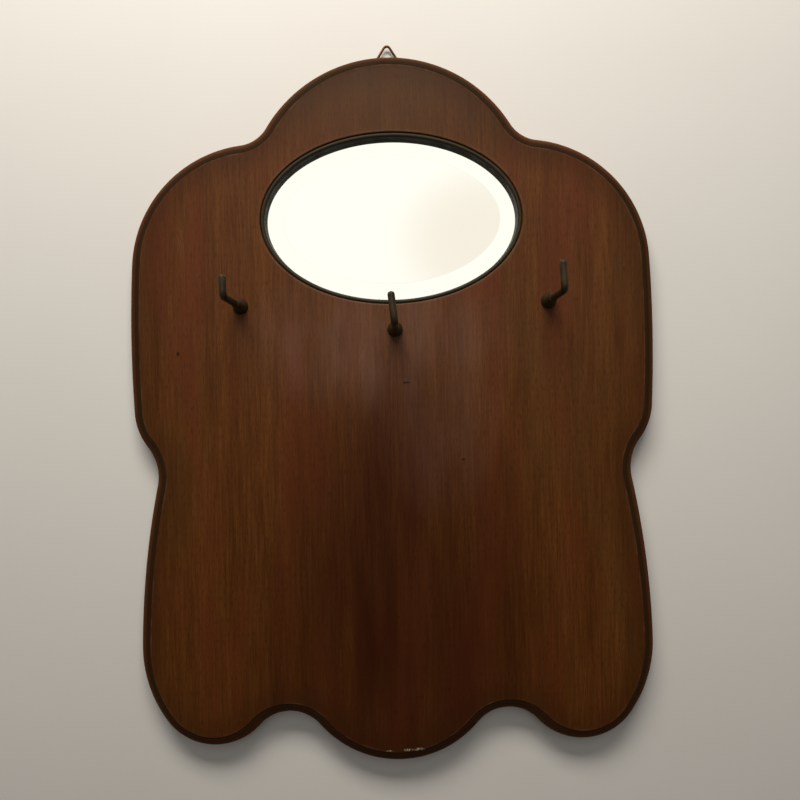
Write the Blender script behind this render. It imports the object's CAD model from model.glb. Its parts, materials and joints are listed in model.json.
import json
import math

import bmesh
import bpy
import numpy as np
from mathutils import Matrix, Vector
from mathutils.geometry import delaunay_2d_cdt
from mathutils.kdtree import KDTree


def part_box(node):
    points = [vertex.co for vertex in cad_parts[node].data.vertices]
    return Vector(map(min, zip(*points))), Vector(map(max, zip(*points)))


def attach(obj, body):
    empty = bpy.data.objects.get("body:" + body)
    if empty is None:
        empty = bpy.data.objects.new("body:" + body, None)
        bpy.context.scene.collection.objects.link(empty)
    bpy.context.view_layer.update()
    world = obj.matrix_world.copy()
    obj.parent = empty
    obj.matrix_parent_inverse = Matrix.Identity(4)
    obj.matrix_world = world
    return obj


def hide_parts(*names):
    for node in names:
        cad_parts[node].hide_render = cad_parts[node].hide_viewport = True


# The looks of a wall-hung hall mirror with coat hooks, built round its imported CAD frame.
#
# Shapes are drawn in board coordinates, in millimetres: across to the right, up from the
# bottom of the board, and level out from its back. to_frame() turns them into the frame.

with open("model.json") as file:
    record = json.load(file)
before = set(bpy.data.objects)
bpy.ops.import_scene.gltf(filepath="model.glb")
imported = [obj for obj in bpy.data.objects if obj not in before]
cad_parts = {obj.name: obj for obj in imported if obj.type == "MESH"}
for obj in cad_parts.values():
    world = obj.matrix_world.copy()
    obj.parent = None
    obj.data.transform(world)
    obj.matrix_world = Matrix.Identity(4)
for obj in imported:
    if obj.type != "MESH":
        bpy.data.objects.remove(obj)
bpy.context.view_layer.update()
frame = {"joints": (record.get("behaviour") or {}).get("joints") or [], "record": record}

MM = 0.001
WALL_BODY = "wall_board"
RING_BODY = "hanging_ring"


# ---- Sizes read from the frame ----

BOARD_LOW, BOARD_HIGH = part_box("board")
HALF_H = BOARD_HIGH.z / MM
BOARD_H = 2 * HALF_H
HALF_W = round(BOARD_HIGH.x / MM)
FACE = -BOARD_LOW.y / MM


def node_box(node):
    """Lowest and highest corner of a CAD node as arrays of (across, up, level)."""
    low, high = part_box(node)
    return (
        np.array([low.x / MM, low.z / MM + HALF_H, -high.y / MM]),
        np.array([high.x / MM, high.z / MM + HALF_H, -low.y / MM]),
    )


def to_frame(point):
    """A point in board coordinates as a point of the frame, in metres."""
    return Vector((point[0], -point[2], point[1] - HALF_H)) * MM


def to_board(place):
    """A point of the frame, in metres, as (across, up, level)."""
    return np.array([place[0] / MM, place[2] / MM + HALF_H, -place[1] / MM])


# ---- Meshes ----

# Points closer than this are one point, in metres, and in millimetres for a net of triangles
WELD = 0.000001
NET_EPSILON = 1e-7


class Shell:
    """Patches of closed surfaces, which are welded where they meet."""

    def __init__(self):
        self.points = []
        self.faces = []
        self.slots = []

    def add(self, ring):
        first = len(self.points)
        self.points += [tuple(point) for point in ring]
        return range(first, first + len(ring))

    def face(self, corners, slot=0):
        self.faces.append(tuple(corners))
        self.slots.append(slot)

    def band(self, ring_a, ring_b, closed=True, skip=(), slot=0):
        """Quads between two rings with the same number of points."""
        a, b = self.add(ring_a), self.add(ring_b)
        count = len(a)
        for k in range(count if closed else count - 1):
            if k not in skip:
                after = (k + 1) % count
                self.face((a[k], a[after], b[after], b[k]), slot)

    def stack(self, rings):
        for below, above in zip(rings, rings[1:]):
            self.band(below, above)

    def cap(self, ring):
        """One face over a convex ring."""
        self.face(self.add(ring))

    def closed_stack(self, rings):
        self.stack(rings)
        self.cap(rings[0])
        self.cap(rings[-1])

    def flat(self, level, outer, holes, pitch, slot=0):
        """Triangles over a flat region with holes, with inner points about pitch apart."""
        loops = [np.array([point[:2] for point in loop]) for loop in [outer, *holes]]
        inner = inner_points(loops, pitch)
        corners = np.concatenate([*loops, inner]) if len(inner) else np.concatenate(loops)
        sides, start = [], 0
        for loop in loops:
            count = len(loop)
            sides += [(start + k, start + (k + 1) % count) for k in range(count)]
            start += count
        found = delaunay_2d_cdt([Vector(c) for c in corners], sides, [], 0, NET_EPSILON)
        spots = np.array([(v[0], v[1]) for v in found[0]])
        triangles = np.array(found[2])
        middles = spots[triangles].mean(axis=1)
        keep = inside(middles, loops[0])
        for hole in loops[1:]:
            keep &= ~inside(middles, hole)
        at = self.add([(x, up, level) for x, up in spots.tolist()])
        for triangle in triangles[keep]:
            self.face([at[int(k)] for k in triangle], slot)


def inside(points, loop):
    """Which of the points lie inside a closed loop."""
    x, y = points[:, 0][:, None], points[:, 1][:, None]
    x0, y0 = loop[:, 0], loop[:, 1]
    x1, y1 = np.roll(x0, -1), np.roll(y0, -1)
    rise = np.where(y1 == y0, 1e-12, y1 - y0)
    crosses = ((y0 > y) != (y1 > y)) & (x < (x1 - x0) * (y - y0) / rise + x0)
    return crosses.sum(axis=1) % 2 == 1


def inner_points(loops, pitch):
    """A grid of points inside the first loop, clear of it and of the holes."""
    low, high = loops[0].min(axis=0), loops[0].max(axis=0)
    columns = np.arange(low[0] + pitch / 2, high[0], pitch)
    rows = np.arange(low[1] + pitch / 2, high[1], pitch)
    if not len(columns) or not len(rows):
        return np.zeros((0, 2))
    grid = np.stack(np.meshgrid(columns, rows), axis=-1).reshape(-1, 2)
    grid[:, 0] += np.where(np.round(grid[:, 1] / pitch) % 2 > 0, pitch / 4, -pitch / 4)
    keep = inside(grid, loops[0])
    for hole in loops[1:]:
        keep &= ~inside(grid, hole)
    grid = grid[keep]
    for loop in loops:
        gap = np.sqrt(((grid[:, None, :] - loop[None, :, :]) ** 2).sum(axis=2)).min(axis=1)
        grid = grid[gap > pitch * 0.6]
    return grid


def mark_distances(mesh, name, loop):
    """Store each point's distance from a loop, seen square to the board, in millimetres."""
    tree = KDTree(len(loop))
    for k, point in enumerate(loop):
        tree.insert((point[0], point[1], 0), k)
    tree.balance()
    places = [to_board(vert.co) for vert in mesh.vertices]
    distances = [tree.find((across, up, 0))[2] for across, up, _ in places]
    mesh.attributes.new(name, "FLOAT", "POINT").data.foreach_set("value", distances)


def placed(name, data):
    """A new object in the scene."""
    thing = bpy.data.objects.new(name, data)
    bpy.context.scene.collection.objects.link(thing)
    return thing


def make_piece(name, shell, materials, body, nodes, smooth=35, marks=()):
    """A closed mesh object from a shell. It rides on its body and stands for its nodes.

    marks are pairs of an attribute's name and the loop that it measures from.
    """
    mesh = bpy.data.meshes.new(name)
    bm = bmesh.new()
    verts = [bm.verts.new(to_frame(point)) for point in shell.points]
    for corners, slot_index in zip(shell.faces, shell.slots):
        face = bm.faces.new([verts[k] for k in corners])
        face.material_index = slot_index
        face.smooth = True
    bmesh.ops.remove_doubles(bm, verts=bm.verts, dist=WELD)
    loose = [v for v in bm.verts if not v.link_faces]
    bmesh.ops.delete(bm, geom=loose, context="VERTS")
    bmesh.ops.recalc_face_normals(bm, faces=bm.faces)
    bm.to_mesh(mesh)
    bm.free()
    mesh.set_sharp_from_angle(angle=math.radians(smooth))
    for mark, loop in marks:
        mark_distances(mesh, mark, loop)
    for material in materials:
        mesh.materials.append(material)
    piece = placed(name, mesh)
    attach(piece, body)
    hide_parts(*nodes)


# ---- Curves ----


def polar(degrees):
    return np.array([math.cos(math.radians(degrees)), math.sin(math.radians(degrees))])


def circle(centre, radius, level, sides):
    return [
        (*(np.array(centre[:2]) + radius * polar(360 * k / sides)), level) for k in range(sides)
    ]


def lathe(shell, centre, profile, sides, closed=False):
    """A surface turned about an axis out of the board: the profile is (radius, level)."""
    rings = [circle(centre, radius, level, sides) for radius, level in profile]
    shell.stack(rings + rings[:1] if closed else rings)


def tube(shell, path, radii, side, sides, closed=False):
    """A round tube along a flat path. side is the direction square to the path's plane."""
    path = np.array(path, float)
    if closed:
        ahead, behind = np.roll(path, -1, axis=0), np.roll(path, 1, axis=0)
    else:
        ahead = np.concatenate([path[1:], path[-1:]])
        behind = np.concatenate([path[:1], path[:-1]])
    rings = []
    for middle, way, radius in zip(path, ahead - behind, radii):
        up = np.cross(side, way / np.linalg.norm(way))
        rings.append([
            middle + radius * (polar(360 * k / sides)[0] * side + polar(360 * k / sides)[1] * up)
            for k in range(sides)
        ])
    shell.stack(rings + rings[:1] if closed else rings)


# ---- Outline of the board ----

# The outline is a chain of circles in touch, as in the CAD part
DOME_R, NECK_R, SHOULDER_R, SIDE_R, CORNER_R = 119.5, 29, 105, 1110, 51
WAIST_R, FLANK_R, LOBE_SIDE_R, LOBE_FOOT_R = 40, 710, 104, 50
ARCH_R, ARCH_X = 33, 91
WAIST_ANGLE, FOOT_ANGLE = -37.5, -36
# Centres of the shoulder and the corner, from the board's side, and from its top or bottom
SHOULDER_IN, SHOULDER_DROP = 106.5, 175
CORNER_IN, CORNER_UP = 52.5, 294.5
# How far a lobe stays inside the board's width, and how high its widest place is
LOBE_IN, LOBE_UP = 4.6, 96.8
# Distance between points along the outline
OUTLINE_PITCH = 1.6


def touch(c1, d1, c2, d2):
    """The point at distance d1 from c1 and d2 from c2, left of the way from c1 to c2."""
    way = c2 - c1
    far = np.linalg.norm(way)
    along = (d1**2 - d2**2 + far**2) / (2 * far)
    ahead = way / far
    return c1 + along * ahead + math.sqrt(d1**2 - along**2) * np.array([-ahead[1], ahead[0]])


def outline_circles():
    """The right half from the top down: (centre, radius), negative where it is hollow."""
    dome = np.array([0, BOARD_H - DOME_R])
    shoulder = np.array([HALF_W - SHOULDER_IN, BOARD_H - SHOULDER_DROP])
    corner = np.array([HALF_W - CORNER_IN, CORNER_UP])
    waist = corner + (CORNER_R + WAIST_R) * polar(WAIST_ANGLE)
    lobe_side = np.array([HALF_W - LOBE_IN - LOBE_SIDE_R, LOBE_UP])
    foot = lobe_side + (LOBE_SIDE_R - LOBE_FOOT_R) * polar(FOOT_ANGLE)
    drop = math.sqrt((LOBE_FOOT_R + ARCH_R) ** 2 - (foot[0] - ARCH_X) ** 2)
    arch = np.array([ARCH_X, foot[1] - drop])
    centre_r = (ARCH_X**2 + arch[1] ** 2 - ARCH_R**2) / (2 * (arch[1] + ARCH_R))
    neck = touch(dome, DOME_R + NECK_R, shoulder, SHOULDER_R + NECK_R)
    side = touch(corner, SIDE_R - CORNER_R, shoulder, SIDE_R - SHOULDER_R)
    flank = touch(lobe_side, FLANK_R - LOBE_SIDE_R, waist, FLANK_R + WAIST_R)
    return [
        (dome, DOME_R), (neck, -NECK_R), (shoulder, SHOULDER_R), (side, SIDE_R),
        (corner, CORNER_R), (waist, -WAIST_R), (flank, FLANK_R), (lobe_side, LOBE_SIDE_R),
        (foot, LOBE_FOOT_R), (arch, -ARCH_R), (np.array([0, centre_r]), centre_r),
    ]


def outline_arcs(notch):
    """Arcs of the right half: (centre, radius, first angle, sweep, steps).

    The dome is split where the hanger's recess, reaching notch to each side, runs out.
    """
    circles = outline_circles()
    arcs, start = [], 90.0
    for k, (centre, radius) in enumerate(circles):
        end = -90.0
        if k + 1 < len(circles):
            nearer, next_radius = circles[k + 1]
            way = (nearer - centre) / (radius - next_radius)
            end = math.degrees(math.atan2(*(way * radius)[::-1]))
            next_start = math.degrees(math.atan2(*(way * next_radius)[::-1]))
        stops = [start, end]
        if k == 0:
            stops.insert(1, math.degrees(math.acos(notch / radius)))
        for a, b in zip(stops, stops[1:]):
            sweep = (b - a) % 360 if radius < 0 else -((a - b) % 360)
            steps = math.ceil(math.radians(abs(sweep)) * abs(radius) / OUTLINE_PITCH)
            arcs.append((centre, radius, a, sweep, steps))
        start = next_start
    return arcs


HANGER_RECESS_W = 40.0
HANGER_RECESS_T = 5.0
ARCS = outline_arcs(HANGER_RECESS_W / 2)


def outline(inset, level):
    """The outline, shrunk by inset, clockwise from the top as seen from the front."""
    right = []
    for centre, radius, first, sweep, steps in ARCS:
        for k in range(steps):
            right.append(centre + abs(radius - inset) * polar(first + sweep * k / steps))
    left = [(-x, up) for x, up in right[:0:-1]]
    return [(x, up, level) for x, up in [*right, (0.0, inset), *left]]


# ---- Oval opening ----

SLIP_LOW, SLIP_HIGH = node_box("mirror_slip")
BORE_GAP = 0.05
OVAL_A = (SLIP_HIGH[0] - SLIP_LOW[0]) / 2 + BORE_GAP
OVAL_B = (SLIP_HIGH[1] - SLIP_LOW[1]) / 2 + BORE_GAP
OVAL_X = (SLIP_HIGH[0] + SLIP_LOW[0]) / 2
OVAL_UP = (SLIP_HIGH[1] + SLIP_LOW[1]) / 2
OVAL_SIDES = 320


def oval(grow, level):
    """A curve at a constant distance outside the edge of the opening."""
    ring = []
    for k in range(OVAL_SIDES):
        cos, sin = polar(360 * k / OVAL_SIDES)
        out = np.array([OVAL_B * cos, OVAL_A * sin])
        out = out / np.linalg.norm(out)
        spot = np.array([OVAL_X + OVAL_A * cos, OVAL_UP + OVAL_B * sin]) + grow * out
        ring.append((*spot, level))
    return ring


# ---- Material nodes ----


class Finish:
    """A procedural material: a Principled shader and short calls for what feeds it."""

    def __init__(self, name, **plain):
        self.material = bpy.data.materials.new(name)
        self.material.use_nodes = True
        self.nodes = self.material.node_tree.nodes
        self.links = self.material.node_tree.links
        self.shader = self.nodes["Principled BSDF"]
        for socket, value in plain.items():
            self.shader.inputs[socket.replace("_", " ")].default_value = value
        place = self.nodes.new("ShaderNodeTexCoord").outputs["Object"]
        self.place = self.stretched(place, (1 / MM,) * 3)

    def feed(self, socket, value):
        if isinstance(value, bpy.types.NodeSocket):
            self.links.new(value, socket)
        elif isinstance(value, (tuple, list)) and len(value) == 3 and socket.type == "RGBA":
            socket.default_value = (*value, 1)
        else:
            socket.default_value = value

    def stretched(self, vector, scale, shift=(0, 0, 0)):
        node = self.nodes.new("ShaderNodeMapping")
        self.feed(node.inputs["Vector"], vector)
        node.inputs["Scale"].default_value = scale
        node.inputs["Location"].default_value = shift
        return node.outputs["Vector"]

    def noise(self, size, detail=2.0, shift=(0, 0, 0), distortion=0.0):
        """Noise from 0 to 1 with features of that size in millimetres along X, Y and Z."""
        node = self.nodes.new("ShaderNodeTexNoise")
        vector = self.stretched(self.place, tuple(1 / s for s in size), shift)
        self.feed(node.inputs["Vector"], vector)
        node.inputs["Scale"].default_value = 1.0
        node.inputs["Detail"].default_value = detail
        node.inputs["Distortion"].default_value = distortion
        return node.outputs["Fac"]

    def math(self, operation, *values, clamp=False):
        node = self.nodes.new("ShaderNodeMath")
        node.operation = operation
        node.use_clamp = clamp
        for socket, value in zip(node.inputs, values):
            self.feed(socket, value)
        return node.outputs[0]

    def times(self, a, b):
        return self.math("MULTIPLY", a, b)

    def plus(self, a, b, clamp=False):
        return self.math("ADD", a, b, clamp=clamp)

    def scaled(self, value, gain, offset=0.0):
        return self.math("MULTIPLY_ADD", value, gain, offset)

    def between(self, value, low, high, out_low=0.0, out_high=1.0):
        """value mapped smoothly from low..high to out_low..out_high, and held there."""
        node = self.nodes.new("ShaderNodeMapRange")
        node.interpolation_type = "SMOOTHSTEP"
        numbers = {"From Min": low, "From Max": high, "To Min": out_low, "To Max": out_high}
        for socket, number in {"Value": value, **numbers}.items():
            self.feed(node.inputs[socket], number)
        return node.outputs["Result"]

    def ridge(self, value, foot, start, end, gone):
        """1 from start to end, fading to 0 at foot and at gone."""
        return self.times(self.between(value, foot, start),
                          self.between(value, end, gone, 1.0, 0.0))

    def ramp(self, value, stops):
        """A colour ramp through (position, colour) stops."""
        node = self.nodes.new("ShaderNodeValToRGB")
        self.feed(node.inputs["Fac"], value)
        elements = node.color_ramp.elements
        while len(elements) < len(stops):
            elements.new(1.0)
        for element, (position, colour) in zip(elements, stops):
            element.position = position
            element.color = (*colour, 1)
        return node.outputs["Color"]

    def mix(self, share, a, b):
        node = self.nodes.new("ShaderNodeMix")
        node.data_type = "RGBA"
        self.feed(node.inputs["Factor"], share)
        colours = [socket for socket in node.inputs if socket.type == "RGBA"]
        self.feed(colours[0], a)
        self.feed(colours[1], b)
        return next(socket for socket in node.outputs if socket.type == "RGBA")

    def attribute(self, name):
        node = self.nodes.new("ShaderNodeAttribute")
        node.attribute_name = name
        return node.outputs["Fac"]

    def axes(self):
        """Places across, through and up the board, in millimetres from its middle."""
        node = self.nodes.new("ShaderNodeSeparateXYZ")
        self.feed(node.inputs[0], self.place)
        return node.outputs[0], node.outputs[1], node.outputs[2]

    def spot(self, across, up, size_across, size_up):
        """1 at a place on the board, fading to 0 over the given half sizes."""
        x, _, z = self.axes()
        dx = self.scaled(x, 1 / size_across, -across / size_across)
        dz = self.scaled(z, 1 / size_up, -(up - HALF_H) / size_up)
        far = self.plus(self.times(dx, dx), self.times(dz, dz))
        return self.between(far, 0.0, 1.0, 1.0, 0.0)

    def done(self, colour, roughness, relief=None, depth=0.0):
        """The material, with its colour, roughness and relief of that depth in millimetres."""
        self.feed(self.shader.inputs["Base Color"], colour)
        self.feed(self.shader.inputs["Roughness"], roughness)
        if relief:
            node = self.nodes.new("ShaderNodeBump")
            node.inputs["Strength"].default_value = 1.0
            node.inputs["Distance"].default_value = depth * MM
            self.feed(node.inputs["Height"], relief)
            self.feed(self.shader.inputs["Normal"], node.outputs["Normal"])
        return self.material


# ---- Wood ----

# The plank was sawn beside the heart of the tree, which leans away from it going up, so
# the growth rings make tall arches that point up the board
HEART_ACROSS = -22
HEART_DEPTH = 46
HEART_LEAN = 0.085
RING_W = 5.5
# How far the rings wander across and through the plank
RING_WANDER, RING_SWELL = 34, 24
# Chipped spots of the edge, where the bare wood shows: (across, up, half width, half height)
CHIPS = [(7, 11.2, 5, 1.3), (16, 11.6, 6, 1.5), (-8, 10.6, 4, 0.6)]
CHIP_COLOUR = (0.34, 0.28, 0.19)
# Small dark knocks in the face, given in the same way
DENTS = [(-176, 340, 1.7, 2.8), (11, 313, 4.0, 1.0), (57, 249, 2.2, 1.4)]
DENT_COLOUR = (0.018, 0.0075, 0.002)


def growth_rings(finish):
    """0 to 1 across each growth ring."""
    x, y, z = finish.axes()
    wander = finish.noise((60, 60, 170), 2.0)
    x = finish.plus(x, finish.scaled(wander, RING_WANDER, -RING_WANDER / 2 - HEART_ACROSS))
    swell = finish.noise((90, 90, 120), 1.0)
    depth = finish.plus(finish.scaled(z, HEART_LEAN, HEART_DEPTH), y)
    depth = finish.plus(depth, finish.scaled(swell, RING_SWELL, -RING_SWELL / 2))
    far = finish.math("SQRT", finish.plus(finish.times(x, x), finish.times(depth, depth)))
    return finish.math("FRACT", finish.scaled(far, 1 / RING_W))


def grain(finish, dark, middle, light):
    """The colour of grain, broad soft streaks over fine ones and faint rings, and its pores."""
    line = finish.between(growth_rings(finish), 0.3, 0.95)
    broad = finish.noise((13, 13, 210), 2.0, (2.7, 0, 6.6))
    fine = finish.noise((1.4, 1.4, 34), 3.0)
    tone = finish.plus(finish.scaled(broad, 0.8, -0.08), finish.scaled(fine, 1.0, -0.32))
    tone = finish.plus(tone, finish.scaled(line, -0.035))
    colour = finish.ramp(tone, [(0.2, dark), (0.5, middle), (0.8, light)])
    pores = finish.noise((0.5, 0.5, 6), 1.0, (7.3, 0, 2.1))
    pores = finish.between(pores, 0.5, 0.7)
    return colour, pores


def board_finish():
    """Dark stained wood, darker low down in the middle, with a thin old polish that has
    gone milky below the mirror."""
    finish = Finish("board_wood", Specular_IOR_Level=0.09)
    colour, pores = grain(
        finish, (0.06, 0.0175, 0.0026), (0.092, 0.0285, 0.0046), (0.125, 0.0425, 0.0088)
    )
    green = finish.noise((45, 45, 150), 2.0, (3.1, 0, 8.2))
    colour = finish.mix(finish.between(green, 0.5, 0.75, 0.0, 0.35), colour,
                        (0.078, 0.036, 0.0075))
    red = finish.noise((28, 28, 140), 2.0, (11.4, 0, 4.7))
    colour = finish.mix(finish.between(red, 0.46, 0.7, 0.0, 0.55), colour,
                        (0.104, 0.0225, 0.006))
    colour = finish.mix(finish.scaled(pores, 0.5), colour, (0.032, 0.009, 0.0015))
    colour = finish.mix(low_middle_stain(finish), colour, (0.024, 0.0034, 0.0003))
    colour = finish.mix(finish.scaled(finish.spot(0, 600, 190, 130), 0.6), colour,
                        (0.048, 0.024, 0.007))
    haze = finish.noise((22, 22, 70), 3.0, (5.5, 0, 1.2))
    bloom = finish.math("MAXIMUM", finish.spot(-12, 352, 125, 75),
                        finish.scaled(finish.spot(38, 290, 60, 100), 0.45))
    bloom = finish.times(bloom, finish.between(haze, 0.3, 0.7, 0.3, 1.0))
    bloom = finish.plus(finish.scaled(bloom, 0.25),
                        finish.scaled(finish.spot(0, 440, 330, 200), 0.025))
    colour = finish.mix(bloom, colour, (0.24, 0.136, 0.106))
    dull_edge = finish.between(finish.attribute("from_outline"), 7, 14, 0.3, 0.0)
    rough = finish.plus(finish.scaled(haze, 0.14, 0.36), finish.scaled(pores, 0.12))
    return finish.done(edge_wear(finish, colour), finish.plus(rough, dull_edge),
                       finish.scaled(pores, -1.0, 1.0), 0.03)


def low_middle_stain(finish):
    """How much darker the stain is down the middle of the board, with one long streak."""
    ragged = finish.noise((17, 17, 160), 2.0, (1.2, 0, 3.4))
    broad = finish.times(finish.spot(4, 95, 150, 270),
                         finish.between(ragged, 0.2, 0.7, 0.65, 1.0))
    streak = finish.times(finish.spot(-20, 190, 26, 190),
                          finish.between(ragged, 0.3, 0.6, 0.4, 0.8))
    return finish.plus(finish.scaled(broad, 0.7), finish.scaled(streak, 0.26), clamp=True)


def edge_wear(finish, colour):
    """Darker towards the edges, a reddish rubbed rim, dirt in the moulding's quirk, paler
    arrises, chips and knocks."""
    inset = finish.attribute("from_outline")
    lip = finish.attribute("from_opening")
    patchy = finish.noise((11, 11, 11), 3.0, (1.7, 4.4, 0.6))
    fine = finish.noise((1.1, 1.1, 1.6), 2.0, (9.1, 0.4, 3.3))
    colour = finish.mix(finish.between(inset, 9, 34, 0.45, 0.0), colour, (0.03, 0.009, 0.0014))
    rubbed = finish.times(finish.between(inset, 2.0, 4.2, 1.0, 0.0),
                          finish.between(patchy, 0.25, 0.65, 0.25, 0.6))
    colour = finish.mix(rubbed, colour, (0.112, 0.037, 0.01))
    dirt = finish.ridge(inset, 4.2, 6.0, 8.7, 9.2)
    colour = finish.mix(finish.scaled(dirt, 0.8), colour, (0.016, 0.0078, 0.0022))
    arris = finish.ridge(inset, 8.75, 9.1, 9.4, 10.6)
    arris = finish.times(arris, finish.between(patchy, 0.4, 0.7, 0.0, 0.4))
    arris = finish.times(arris, finish.between(fine, 0.2, 0.6, 0.4, 1.0))
    colour = finish.mix(arris, colour, (0.135, 0.075, 0.04))
    lip_arris = finish.ridge(lip, 0.3, 0.8, 1.4, 3.0)
    lip_arris = finish.times(lip_arris, finish.between(patchy, 0.3, 0.7, 0.1, 0.5))
    colour = finish.mix(lip_arris, colour, (0.12, 0.065, 0.036))
    for chip in CHIPS:
        share = finish.times(finish.spot(*chip), finish.between(fine, 0.4, 0.55))
        colour = finish.mix(share, colour, CHIP_COLOUR)
    for dent in DENTS:
        share = finish.times(finish.spot(*dent), finish.between(fine, 0.3, 0.5, 0.4, 1.0))
        colour = finish.mix(share, colour, DENT_COLOUR)
    return colour


def back_finish():
    """The sawn back of the board: dull, paler and dusty, with the saw's faint marks."""
    finish = Finish("board_back_wood")
    colour, pores = grain(
        finish, (0.1, 0.052, 0.026), (0.17, 0.095, 0.05), (0.25, 0.155, 0.088)
    )
    dust = finish.noise((40, 40, 55), 4.0)
    colour = finish.mix(finish.between(dust, 0.35, 0.75, 0.0, 0.4), colour, (0.13, 0.11, 0.088))
    colour = finish.mix(finish.scaled(pores, 0.6), colour, (0.05, 0.026, 0.013))
    saw = finish.noise((160, 160, 1.3), 1.0)
    return finish.done(colour, finish.between(dust, 0.2, 0.8, 0.62, 0.82),
                       finish.plus(saw, finish.scaled(pores, -0.6)), 0.12)


# ---- Board ----

MOULD_R = 8.5
STEP_W = 0.6
STEP_T = 0.7
MOULD_STEPS = 16
# Inside this distance from the outline, the face is a plain net of triangles
FACE_INSET = 22
# Distance between the points of the nets over the face, the back and the hanger's recess
FACE_PITCH, BACK_PITCH, RECESS_PITCH = 9, 16, 8
OVAL_EDGE_R, OVAL_EDGE_STEPS = 1.2, 6
SLIP_SEAT = SLIP_LOW[2]
GLASS_LOW, GLASS_HIGH = node_box("mirror_glass")
PANEL_HIGH = node_box("mirror_back_panel")[1]
REBATE_GAP = 0.4
GLASS_GROW = GLASS_HIGH[0] - OVAL_X - OVAL_A
REBATE_GROW = GLASS_GROW + REBATE_GAP
PANEL_GROW = PANEL_HIGH[0] - OVAL_X - OVAL_A
PANEL_REBATE_GROW = PANEL_GROW + REBATE_GAP
PANEL_T = PANEL_HIGH[2]
PLATE_LOW, PLATE_HIGH = node_box("hanger_plate")
RECESS_FOOT_GAP = 1.2
RECESS_FOOT = PLATE_LOW[1] - RECESS_FOOT_GAP
ARMS = {m["name"]: m for m in frame["record"]["mounts"]}
SHANK_LEN = 15.0
SHANK_STEP = 0.2
SHANK_R = ARMS["hook_arm_left"]["dims"]["r_mm"] - SHANK_STEP
BORE_SIDES = 32


def hook_base(side):
    """Where a hook's stem leaves the face: the middle of its collar."""
    low, high = node_box(f"collar_{side}")
    return (low[:2] + high[:2]) / 2


SIDES = ("left", "centre", "right")


def quarter_round(radius, top, steps):
    """(inset, level) round a quarter circle, from a wall up to a face at level top."""
    return [
        (radius * (1 - math.cos(a)), top - radius * (1 - math.sin(a)))
        for a in np.linspace(0, math.pi / 2, steps + 1)
    ]


def moulding_profile():
    """The front edge from the side wall in, as (inset, level): a quarter round, a small
    quirk at its foot, and the arris of the face."""
    top = FACE - STEP_T
    quirk = [
        (MOULD_R + 0.1, top - 0.06),
        (MOULD_R + 0.32, top + 0.2),
        (MOULD_R + 0.48, FACE - 0.18),
        (MOULD_R + STEP_W, FACE - 0.05),
        (MOULD_R + STEP_W + 0.25, FACE),
    ]
    return quarter_round(MOULD_R, top, MOULD_STEPS) + quirk


def board_shell():
    shell = Shell()
    profile = moulding_profile()
    outer = outline(0, 0)
    notch_half = HANGER_RECESS_W / 2 + 0.001
    count = len(outer)
    in_notch = [abs(p[0]) < notch_half and p[1] > HALF_H for p in outer]
    notched = {k for k in range(count) if in_notch[k] and in_notch[(k + 1) % count]}
    shell.band(outer, outline(0, HANGER_RECESS_T), skip=notched)
    shell.stack([outline(0, HANGER_RECESS_T)] + [outline(i, z) for i, z in profile])
    face_insets = [profile[-1][0], 9.7, 10.3, 11.5, 13.5, 17, FACE_INSET]
    shell.stack([outline(i, FACE) for i in face_insets])
    lips = quarter_round(OVAL_EDGE_R, FACE, OVAL_EDGE_STEPS)
    around = [1.5, 2.0, 3.0, 5.0]
    shell.stack([oval(g, z) for g, z in lips] + [oval(g, FACE) for g in around])
    bore_r, bore_foot = SHANK_R + BORE_GAP, FACE - SHANK_LEN - BORE_GAP
    bores = [circle(hook_base(side), bore_r, FACE, BORE_SIDES) for side in SIDES]
    holes = [oval(around[-1], FACE), *bores]
    shell.flat(FACE, outline(FACE_INSET, FACE), holes, FACE_PITCH)
    for side in SIDES:
        lathe(shell, hook_base(side), [(bore_r, FACE), (bore_r, bore_foot)], BORE_SIDES)
        shell.cap(circle(hook_base(side), bore_r, bore_foot, BORE_SIDES))
    shell.stack([
        oval(0, lips[0][1]),
        oval(0, SLIP_SEAT),
        oval(REBATE_GROW, SLIP_SEAT),
        oval(REBATE_GROW, PANEL_T),
        oval(PANEL_REBATE_GROW, PANEL_T),
        oval(PANEL_REBATE_GROW, 0),
    ])
    add_back(shell, outer, notched)
    return shell


def add_back(shell, outer, notched):
    """The back of the board with the hanger's recess let into it from the top edge."""
    half = HANGER_RECESS_W / 2
    count = len(outer)
    reach = len(notched) // 2
    top = [outer[k % count] for k in range(count - reach, count + reach + 1)]
    rest = outer[reach:count - reach + 1]
    foot = [(-half, RECESS_FOOT, 0), (half, RECESS_FOOT, 0)]
    shell.flat(0, rest + foot, [oval(PANEL_REBATE_GROW, 0)], BACK_PITCH, slot=1)
    shell.flat(HANGER_RECESS_T, top + foot[::-1], [], RECESS_PITCH, slot=1)
    walls = [rest[-1], *foot, rest[0]]
    low = [(p[0], p[1], 0) for p in walls]
    high = [(p[0], p[1], HANGER_RECESS_T) for p in walls]
    shell.band(low, high, closed=False, slot=1)


def make_board():
    make_piece("board_shaped", board_shell(), [board_finish(), back_finish()],
               WALL_BODY, ["board"],
               marks=[("from_outline", outline(0, 0)), ("from_opening", oval(0, 0))])


# ---- Mirror ----

SLIP_W = 3.5
BEVEL_W = 21.0
BEVEL_T = 1.2


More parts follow.
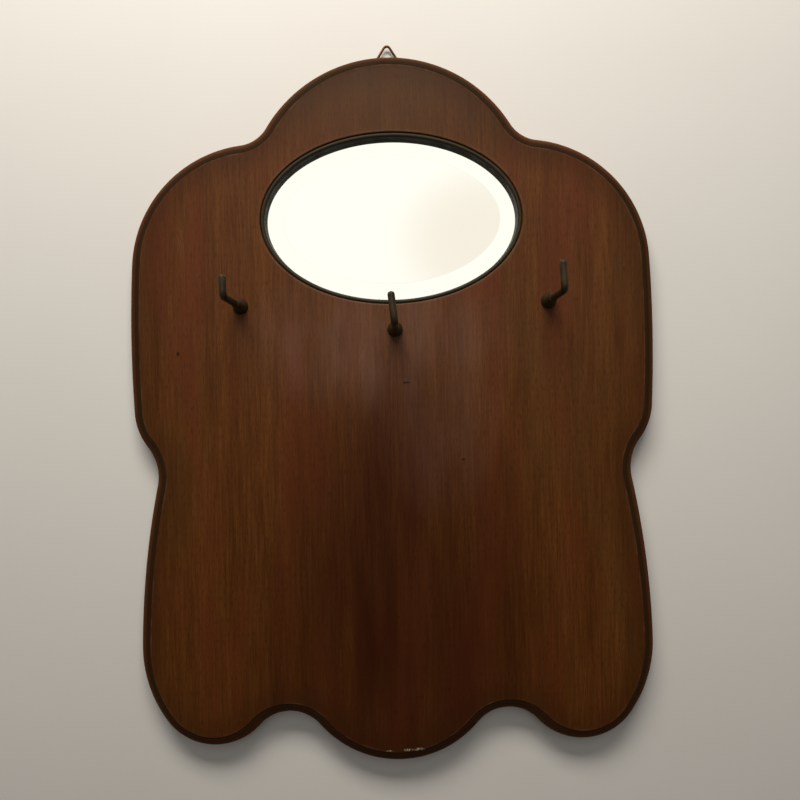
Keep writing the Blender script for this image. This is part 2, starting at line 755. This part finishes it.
def slip_finish():
    """Ebonised wood: a dull brown-black polish, a little dusty and rubbed."""
    finish = Finish("ebonised_wood", Specular_IOR_Level=0.16)
    dust = finish.noise((14, 14, 14), 3.0)
    fine = finish.noise((1.6, 1.6, 5), 2.0)
    colour = finish.ramp(dust, [(0.3, (0.019, 0.014, 0.0066)), (0.6, (0.027, 0.0205, 0.01)),
                                (0.8, (0.038, 0.03, 0.016))])
    colour = finish.mix(finish.between(fine, 0.5, 0.75, 0.0, 0.5), colour, (0.044, 0.028, 0.013))
    return finish.done(colour, finish.between(dust, 0.3, 0.8, 0.48, 0.66), fine, 0.03)


def make_slip():
    """The slip that lines the opening: a ring with straight walls and a rounded nose."""
    inner, outer = -SLIP_W, -BORE_GAP
    nose_r = (outer - inner) / 2
    nose_foot = SLIP_HIGH[2] - nose_r
    nose = [
        (inner + nose_r * (1 - math.cos(a)), nose_foot + nose_r * math.sin(a))
        for a in np.linspace(0, math.pi, 15)
    ]
    profile = [(outer, SLIP_SEAT), (inner, SLIP_SEAT)] + nose
    shell = Shell()
    rings = [oval(grow, level) for grow, level in profile]
    shell.stack(rings + rings[:1])
    make_piece("mirror_slip_black", shell, [slip_finish()], WALL_BODY,
               ["mirror_slip"])


def mirror_finish():
    """Old silvering: a little clouded in its flat middle, and specked near the edge."""
    finish = Finish("mirror_silver", Metallic=1.0)
    edge = finish.attribute("from_glass_edge")
    cloud = finish.noise((75, 75, 55), 2.0, (0.4, 0, 0.9))
    specks = finish.noise((1.3, 1.3, 1.3), 2.0, (2.2, 0, 7.7))
    speck = finish.times(finish.between(specks, 0.66, 0.74),
                         finish.between(edge, 6.0, 12.0, 1.0, 0.0))
    flat = finish.between(edge, BEVEL_W - 0.6, BEVEL_W + 0.4)
    dull = finish.plus(finish.scaled(finish.spot(75, 430, 85, 75), 0.75),
                       finish.between(cloud, 0.3, 0.8, 0.0, 0.08))
    colour = finish.mix(dull, (0.995, 0.998, 0.925), (0.83, 0.775, 0.675))
    colour = finish.mix(flat, (0.915, 0.922, 0.85), colour)
    crease = finish.ridge(edge, BEVEL_W - 1.3, BEVEL_W - 0.3, BEVEL_W + 0.2, BEVEL_W + 0.8)
    colour = finish.mix(finish.scaled(crease, 0.14), colour, (0.5, 0.5, 0.47))
    colour = finish.mix(speck, colour, (0.25, 0.22, 0.16))
    return finish.done(colour, finish.between(cloud, 0.3, 0.8, 0.012, 0.03))


def make_glass():
    """The mirror glass, with a bevel whose crease is a little rounded."""
    back, front = GLASS_LOW[2], GLASS_HIGH[2]
    fall = BEVEL_T / BEVEL_W
    bevel = [
        (GLASS_GROW, back + 0.15),
        (GLASS_GROW, front - BEVEL_T - 0.1),
        (GLASS_GROW - 0.15, front - BEVEL_T + 0.02),
        (GLASS_GROW - BEVEL_W / 2, front - BEVEL_T / 2),
        (GLASS_GROW - BEVEL_W + 0.5, front - 0.5 * fall),
        (GLASS_GROW - BEVEL_W + 0.15, front - 0.15 * fall),
        (GLASS_GROW - BEVEL_W - 0.35, front),
    ]
    shell = Shell()
    rings = [oval(GLASS_GROW - 0.15, back)] + [oval(grow, level) for grow, level in bevel]
    shell.closed_stack(rings)
    make_piece("mirror_plate", shell, [mirror_finish()], WALL_BODY,
               ["mirror_glass"], smooth=3,
               marks=[("from_glass_edge", oval(GLASS_GROW, 0))])


def strawboard_finish():
    finish = Finish("strawboard")
    fibres = finish.noise((3, 3, 0.7), 4.0, distortion=1.5)
    colour = finish.ramp(fibres, [(0.3, (0.3, 0.2, 0.1)), (0.7, (0.48, 0.36, 0.2))])
    return finish.done(colour, finish.between(fibres, 0.2, 0.8, 0.8, 0.95), fibres, 0.05)


def make_packing():
    low, high = node_box("mirror_packing")
    ease = 0.1
    shell = Shell()
    shell.closed_stack([
        oval(GLASS_GROW - ease, low[2]),
        oval(GLASS_GROW, low[2] + ease),
        oval(GLASS_GROW, high[2] - ease),
        oval(GLASS_GROW - ease, high[2]),
    ])
    make_piece("mirror_packing_sheet", shell, [strawboard_finish()], WALL_BODY,
               ["mirror_packing"])


def panel_finish():
    """A thin panel of pale wood, gone brown, with a rough surface."""
    finish = Finish("panel_wood")
    fibres = finish.noise((70, 70, 1.1), 3.0)
    waves = finish.noise((120, 60, 9), 2.0, (3.0, 0, 1.0), 0.6)
    tone = finish.plus(finish.scaled(fibres, 0.6), finish.scaled(waves, 0.5, -0.05))
    colour = finish.ramp(tone, [(0.3, (0.2, 0.105, 0.045)), (0.55, (0.33, 0.19, 0.085)),
                                (0.8, (0.42, 0.27, 0.14))])
    stain = finish.noise((45, 45, 35), 3.0, (8.0, 0, 2.0))
    colour = finish.mix(finish.between(stain, 0.55, 0.8, 0.0, 0.4), colour, (0.12, 0.07, 0.035))
    return finish.done(colour, finish.between(waves, 0.3, 0.7, 0.6, 0.75), fibres, 0.06)


PIN_COUNT = 10
PIN_R, PIN_HEAD_R, PIN_HEAD_T = 0.7, 1.5, 0.9
PIN_POINT_T = 1.8
PIN_SIDES = 24
PIN_TIP = node_box("back_panel_pins")[1][2]


def pin_spots():
    """The pins' places, evenly along a curve between the two rebates."""
    ring = oval((REBATE_GROW + PANEL_REBATE_GROW) / 2, 0)
    return [ring[round((k + 0.5) * OVAL_SIDES / PIN_COUNT)][:2] for k in range(PIN_COUNT)]


def make_panel():
    """The panel that closes the back, with a countersunk hole at each pin."""
    ease = 0.35
    pitch = 12
    shell = Shell()
    profile = [(PANEL_GROW - ease, 0), (PANEL_GROW, ease), (PANEL_GROW, PANEL_T)]
    shell.stack([oval(grow, level) for grow, level in profile])
    wide, narrow = PIN_HEAD_R + BORE_GAP, PIN_R + BORE_GAP
    for spot in pin_spots():
        lathe(shell, spot, [(wide, 0), (narrow, PIN_HEAD_T), (narrow, PANEL_T)], PIN_SIDES)
    back = [circle(spot, wide, 0, PIN_SIDES) for spot in pin_spots()]
    front = [circle(spot, narrow, PANEL_T, PIN_SIDES) for spot in pin_spots()]
    shell.flat(0, oval(PANEL_GROW - ease, 0), back, pitch)
    shell.flat(PANEL_T, oval(PANEL_GROW, PANEL_T), front, pitch)
    make_piece("mirror_back_cover", shell, [panel_finish()], WALL_BODY,
               ["mirror_back_panel"])


def metal_finish(name, dark, bright, stain, rough):
    """Dull old metal: two tones in clouds, darker stains, and uneven roughness."""
    finish = Finish(name, Metallic=1.0)
    clouds = finish.noise((6, 6, 6), 3.0)
    spots = finish.noise((0.7, 0.7, 0.7), 2.0, (4.0, 2.0, 9.0))
    colour = finish.mix(finish.between(clouds, 0.3, 0.7), dark, bright)
    colour = finish.mix(finish.between(spots, 0.5, 0.75, 0.0, 0.5), colour, stain)
    grit = finish.plus(finish.scaled(clouds, 0.2), finish.scaled(spots, 0.25))
    return finish.done(colour, finish.scaled(grit, 1.0, rough - 0.22),
                       finish.plus(spots, clouds), 0.012)


def make_pins():
    """Pins with a slightly domed head, a taper under it, and a point."""
    shell = Shell()
    profile = [(0, 0.02), (PIN_HEAD_R - 0.5, 0.0), (PIN_HEAD_R - 0.1, 0.06),
               (PIN_HEAD_R, 0.16), (PIN_R, PIN_HEAD_T), (PIN_R, PIN_TIP - PIN_POINT_T),
               (0, PIN_TIP)]
    for spot in pin_spots():
        lathe(shell, spot, profile, PIN_SIDES)
    steel = metal_finish("pin_steel", (0.2, 0.19, 0.17), (0.36, 0.34, 0.31),
                         (0.12, 0.06, 0.03), 0.45)
    make_piece("panel_pins", shell, [steel], WALL_BODY, ["back_panel_pins"])


# ---- Hooks ----

THREAD_PITCH, THREAD_T = 1.8, 0.4
THREAD_COUNT = 6
BEND_R = 4.5
# How much of its radius a hand-bent rod loses where it is thinnest
ROD_UNEVEN = 0.012
COLLAR_RIM_T, COLLAR_TOP_W = 1.0, 0.65
COLLAR_STEPS = 20


def iron_finish(name, warm):
    """Blackened iron: brown-black in clouds, with a share of fine rust."""
    finish = Finish(name, Metallic=0.1, Specular_IOR_Level=0.22)
    clouds = finish.noise((9, 9, 9), 3.0)
    grit = finish.noise((0.8, 0.8, 0.8), 2.0, (3.0, 5.0, 2.0))
    colour = finish.mix(finish.between(clouds, 0.35, 0.7), (0.022, 0.0145, 0.0058),
                        (0.04, 0.027, 0.0105))
    colour = finish.mix(finish.between(grit, 0.5, 0.75, 0.0, warm), colour, (0.07, 0.03, 0.01))
    return finish.done(colour, finish.between(clouds, 0.3, 0.7, 0.42, 0.62),
                       finish.plus(grit, clouds), 0.02)


def hook_sections(reach, rise, rod_r):
    """Centreline and radius of a hook: (rise, level, radius) from its point to its tip."""
    start = FACE - SHANK_LEN
    crest, root = SHANK_R, SHANK_R - THREAD_T
    sections = [(0, start, 0.0), (0, start + 0.05, 0.8), (0, start + 0.9, root)]
    for k in range(THREAD_COUNT):
        level = start + 1 + k * THREAD_PITCH
        sections += [(0, level + 0.15, root), (0, level + 0.6, crest), (0, level + 0.8, crest),
                     (0, level + 1.25, root)]
    sections += [(0, FACE - 2, crest), (0, FACE - 0.1, crest), (0, FACE, rod_r)]
    elbow = FACE + reach - BEND_R
    sections += [(0, z, rod_r) for z in np.linspace(FACE + 2, elbow, 24)]
    sections += [
        (BEND_R * (1 - math.cos(a)), elbow + BEND_R * math.sin(a), rod_r)
        for a in np.linspace(0, math.pi / 2, 17)[1:]
    ]
    end = rise - rod_r
    sections += [(r, FACE + reach, rod_r) for r in np.linspace(BEND_R, end, 10)[1:]]
    sections += [
        (end + rod_r * math.sin(a), FACE + reach, rod_r * math.cos(a) ** 0.8)
        for a in np.linspace(0, math.pi / 2, 11)[1:]
    ]
    return sections


def make_hook(side, number, iron):
    """A bent rod, a hair uneven along its length as hand-bent iron is."""
    mount = ARMS[f"hook_arm_{side}"]
    base = hook_base(side)
    rod_r = mount["dims"]["r_mm"]
    reach = to_board(mount["pos_m"])[2] - FACE
    top = node_box(f"hook_{side}")[1][1]
    lean_x, lean_up = mount["axis"][0], mount["axis"][2]
    rise = (top - base[1] - rod_r * (1 - lean_up)) / lean_up
    path, radii = [], []
    for k, (out, level, radius) in enumerate(hook_sections(reach, rise, rod_r)):
        path.append((base[0] + out * lean_x, base[1] + out * lean_up, level))
        shown = level > FACE + 1 and radius == rod_r
        uneven = ROD_UNEVEN * abs(math.sin(0.9 * k + 2 * number)) if shown else 0
        radii.append(radius * (1 - uneven))
    shell = Shell()
    tube(shell, path, radii, np.array([lean_up, -lean_x, 0.0]), 40)
    make_piece(f"hook_{side}_iron", shell, [iron], WALL_BODY,
               [f"hook_{side}"], smooth=50)


def make_collar(side, iron):
    """A flared collar with an eased rim, thin at the top where it hugs the stem."""
    low, high = node_box(f"collar_{side}")
    foot_r, height = (high[0] - low[0]) / 2, high[2] - FACE
    bore_r = ARMS[f"hook_arm_{side}"]["dims"]["r_mm"] + BORE_GAP
    top_r, rim = bore_r + COLLAR_TOP_W, COLLAR_RIM_T
    flare = [
        (top_r + (foot_r - top_r) * (1 - k / COLLAR_STEPS) ** 2,
         FACE + rim + (height - rim) * k / COLLAR_STEPS)
        for k in range(1, COLLAR_STEPS)
    ]
    profile = [(bore_r, FACE), (foot_r - 0.15, FACE), (foot_r, FACE + 0.15),
               (foot_r, FACE + rim - 0.25), (foot_r - 0.1, FACE + rim - 0.05)]
    profile += flare
    profile += [(top_r - 0.05, FACE + height - 0.1), (top_r - 0.2, FACE + height),
                (bore_r, FACE + height)]
    shell = Shell()
    lathe(shell, hook_base(side), profile, 64, closed=True)
    make_piece(f"collar_{side}_iron", shell, [iron], WALL_BODY,
               [f"collar_{side}"], smooth=50)


def make_hooks():
    rod_iron = iron_finish("hook_iron", 0.45)
    collar_iron = iron_finish("collar_iron", 0.3)
    for number, side in enumerate(SIDES):
        make_hook(side, number, rod_iron)
        make_collar(side, collar_iron)


# ---- Hanger ----

HINGE = to_board(frame["joints"][0]["pos_m"])
RING_LOW, RING_HIGH = node_box("hanger_ring")
WIRE_R = (RING_HIGH[2] - RING_LOW[2]) / 2
RING_BEND_R = 2.8
RING_ANGLE = 32
PLATE_T = 1.2
KNUCKLE_W = 13.0
KNUCKLE_R = HANGER_RECESS_T - HINGE[2]
# How far round the wire the tab is curled, in degrees
KNUCKLE_TURN = 318
SCREW_DROP = 6.5
SCREW_X = 12.0
SCREW_R, SCREW_HEAD_R, SCREW_LEN = 1.5, 2.7, 10.0
SCREW_THREADS, SCREW_THREAD_T = 7, 0.25
SCREW_SIDES = 32


def screw_spots():
    return [(sign * SCREW_X, HINGE[1] - SCREW_DROP) for sign in (-1, 1)]


def make_ring():
    """A loop of wire with rounded corners, its lower bar in the plate's knuckle."""
    peak = RING_HIGH[1] - HINGE[1] - RING_BEND_R - WIRE_R
    half = (peak - RING_BEND_R) * math.tan(math.radians(RING_ANGLE))
    bends = [np.array([-half, RING_BEND_R]), np.array([half, RING_BEND_R]), np.array([0, peak])]
    path = []
    for k, centre in enumerate(bends):
        way, back = bends[(k + 1) % 3] - centre, centre - bends[k - 1]
        heading = math.degrees(math.atan2(way[1], way[0]))
        came = math.degrees(math.atan2(back[1], back[0]))
        sweep = (heading - came) % 360
        arc = [centre + RING_BEND_R * polar(came - 90 + sweep * t) for t in np.linspace(0, 1, 13)]
        run = [arc[-1] + way * t for t in np.linspace(0, 1, 14)[1:-1]]
        path += [(HINGE[0] + x, HINGE[1] + up, HINGE[2]) for x, up in arc + run]
    shell = Shell()
    tube(shell, path, [WIRE_R] * len(path), np.array([0.0, 0.0, 1.0]), 24, closed=True)
    wire = metal_finish("ring_wire", (0.055, 0.022, 0.008), (0.12, 0.05, 0.018),
                        (0.025, 0.01, 0.004), 0.5)
    make_piece("hanging_ring_wire", shell, [wire], RING_BODY,
               ["hanger_ring"], smooth=60)


def plate_outline(level):
    """The plate's rounded outline with a tab that runs up to the hinge."""
    half, low, high = PLATE_HIGH[0], PLATE_LOW[1], HINGE[1] - KNUCKLE_R
    round_r = 2.0
    tab = KNUCKLE_W / 2
    corners = [(-half, low, 180), (half, low, 270), (half, high, 0), (-half, high, 90)]
    points = []
    for k, (x, up, first) in enumerate(corners):
        centre = (x - math.copysign(round_r, x), up + round_r if up == low else up - round_r)
        points += [(*(np.array(centre) + round_r * polar(first + 90 * t / 6)), level)
                   for t in range(7)]
        if k == 2:
            points += [(tab, high, level), (tab, HINGE[1], level), (-tab, HINGE[1], level),
                       (-tab, high, level)]
    return points


def make_plate():
    """A plate with countersunk holes, its tab curled round the ring's lower bar."""
    outer_level, inner_level = HANGER_RECESS_T - PLATE_T, HANGER_RECESS_T
    shell = Shell()
    hole = [(SCREW_HEAD_R + BORE_GAP, outer_level), (SCREW_R + BORE_GAP, inner_level)]
    for level, (radius, _) in zip((outer_level, inner_level), hole):
        holes = [circle(spot, radius, level, SCREW_SIDES) for spot in screw_spots()]
        shell.flat(level, plate_outline(level), holes, 3)
    for spot in screw_spots():
        lathe(shell, spot, hole, SCREW_SIDES)
    back, front = plate_outline(outer_level), plate_outline(inner_level)
    tab_top = {k for k in range(len(back))
               if back[k][1] == HINGE[1] and back[(k + 1) % len(back)][1] == HINGE[1]}
    shell.band(back, front, skip=tab_top)
    inner_r = KNUCKLE_R - PLATE_T
    turns = np.linspace(0, KNUCKLE_TURN, 33)
    tab = KNUCKLE_W / 2
    corners = [(-tab, KNUCKLE_R), (tab, KNUCKLE_R), (tab, inner_r), (-tab, inner_r)]
    rows = [
        [(x, HINGE[1] + radius * polar(t)[1], HINGE[2] + radius * polar(t)[0]) for t in turns]
        for x, radius in corners
    ]
    for k, row in enumerate(rows):
        shell.band(rows[k - 1], row, closed=False)
    shell.cap([row[-1] for row in rows])
    brass = metal_finish("hanger_brass", (0.26, 0.19, 0.1), (0.42, 0.32, 0.18),
                         (0.14, 0.1, 0.06), 0.46)
    make_piece("hanger_plate_rolled", shell, [brass], WALL_BODY,
               ["hanger_plate"])


def make_screws():
    """Two countersunk wood screws, each slot stopped where its turning ended."""
    head_level = HANGER_RECESS_T - PLATE_T
    slot_half_w, slot_t, ease = 0.4, 0.6, 0.12
    head_r = SCREW_HEAD_R - ease
    root_r = SCREW_R - SCREW_THREAD_T
    shell = Shell()
    for spot, turned in zip(screw_spots(), (18, -34)):
        reach = SCREW_HEAD_R - 0.45
        corners = [(reach, slot_half_w), (-reach, slot_half_w), (-reach, -slot_half_w),
                   (reach, -slot_half_w)]
        across, along = polar(turned), polar(turned + 90)
        slot = [tuple(np.array(spot) + a * across + b * along) for a, b in corners]
        top = [(*p, head_level) for p in slot]
        floor = [(*p, head_level + slot_t) for p in slot]
        shell.flat(head_level, circle(spot, head_r, head_level, SCREW_SIDES), [top], 1.2)
        shell.band(top, floor)
        shell.cap(floor)
        profile = [(head_r, head_level), (SCREW_HEAD_R, head_level + ease),
                   (SCREW_R, HANGER_RECESS_T)]
        for k in range(SCREW_THREADS):
            level = HANGER_RECESS_T + 1.2 + k
            profile += [(root_r, level), (SCREW_R, level + 0.35), (root_r, level + 0.7)]
        end = head_level + SCREW_LEN
        profile += [(SCREW_R - 0.3, end - 1.3), (0, end)]
        lathe(shell, spot, profile, SCREW_SIDES)
    brass = metal_finish("screw_brass", (0.24, 0.18, 0.1), (0.4, 0.31, 0.18),
                         (0.1, 0.07, 0.045), 0.4)
    make_piece("hanger_screws_slotted", shell, [brass], WALL_BODY,
               ["hanger_screws"])


# ---- Studio ----

# The camera stands square in front of the board, a little right of its centreline
CAMERA_ACROSS = 5.6
CAMERA_UP = 298.8
CAMERA_OUT = 584.5
CAMERA_ROLL = 1.1
SENSOR_W = 36.0
LENS = 30.915


def make_camera():
    camera = placed("camera", bpy.data.cameras.new("camera"))
    camera.data.sensor_width = SENSOR_W
    camera.data.lens = LENS
    place = to_frame((CAMERA_ACROSS, CAMERA_UP, CAMERA_OUT))
    level = Matrix.Rotation(math.radians(90), 4, "X")
    roll = Matrix.Rotation(math.radians(-CAMERA_ROLL), 4, "Z")
    camera.matrix_world = Matrix.Translation(place) @ level @ roll
    bpy.context.scene.camera = camera


def area_light(name, place, target, width, height, power, colour):
    data = bpy.data.lights.new(name, "AREA")
    data.shape = "RECTANGLE"
    data.size, data.size_y = width, height
    data.energy = power
    data.color = colour
    light = placed(name, data)
    light.location = place
    light.rotation_euler = (Vector(target) - Vector(place)).to_track_quat("-Z", "Y").to_euler()


def make_floor():
    """The pale floor that the board lies on, parallel to its back. It can only be seen from
    its own side, so that views from behind the board are open."""
    size = 6.0
    gap = 0.0006
    mesh = bpy.data.meshes.new("floor")
    corners = [(-size, gap, -size), (size, gap, -size), (size, gap, size), (-size, gap, size)]
    mesh.from_pydata(corners, [], [(0, 1, 2, 3)])
    finish = Finish("pale_floor")
    tone = finish.noise((180, 180, 180), 2.0)
    finish.done(finish.mix(tone, (0.7, 0.67, 0.63), (0.74, 0.71, 0.67)), 0.8)
    sides = finish.nodes.new("ShaderNodeNewGeometry").outputs["Backfacing"]
    clear = finish.nodes.new("ShaderNodeBsdfTransparent")
    both = finish.nodes.new("ShaderNodeMixShader")
    finish.links.new(sides, both.inputs[0])
    finish.links.new(finish.shader.outputs[0], both.inputs[1])
    finish.links.new(clear.outputs[0], both.inputs[2])
    finish.links.new(both.outputs[0], finish.nodes["Material Output"].inputs["Surface"])
    mesh.materials.append(finish.material)
    floor = placed("floor", mesh)
    floor.visible_shadow = False


def make_world():
    """A dim warm surround, brighter in reflections, that looks pale where it is seen."""
    world = bpy.data.worlds.new("studio")
    world.use_nodes = True
    bpy.context.scene.world = world
    nodes, links = world.node_tree.nodes, world.node_tree.links
    rays = nodes.new("ShaderNodeLightPath")
    shown = nodes["Background"].outputs[0]
    nodes["Background"].inputs["Color"].default_value = (1.0, 0.93, 0.85, 1)
    nodes["Background"].inputs["Strength"].default_value = 0.05
    for ray, colour, strength in [("Is Glossy Ray", (1.0, 0.96, 0.9, 1), 0.2),
                                  ("Is Camera Ray", (0.8, 0.78, 0.75, 1), 0.85)]:
        light = nodes.new("ShaderNodeBackground")
        light.inputs["Color"].default_value = colour
        light.inputs["Strength"].default_value = strength
        either = nodes.new("ShaderNodeMixShader")
        links.new(rays.outputs[ray], either.inputs[0])
        links.new(shown, either.inputs[1])
        links.new(light.outputs[0], either.inputs[2])
        shown = either.outputs[0]
    links.new(shown, nodes["World Output"].inputs["Surface"])


def make_lights():
    area_light("key", (0, -1.4, 0.56), (0, 0, 0.56), 1.5, 1.2, 5.25, (1.0, 0.985, 0.95))
    area_light("top", (-0.12, -0.78, 1.12), (0, 0, 0.2), 1.0, 0.4, 20, (1.0, 0.96, 0.88))
    area_light("back", (0.3, 1.2, 0.9), (0, 0, 0), 1.2, 1.0, 16, (1.0, 0.97, 0.93))


make_camera()
make_board()
make_slip()
make_glass()
make_packing()
make_panel()
make_pins()
make_hooks()
make_ring()
make_plate()
make_screws()
make_floor()
make_world()
make_lights()
bpy.context.scene.view_settings.view_transform = "Standard"
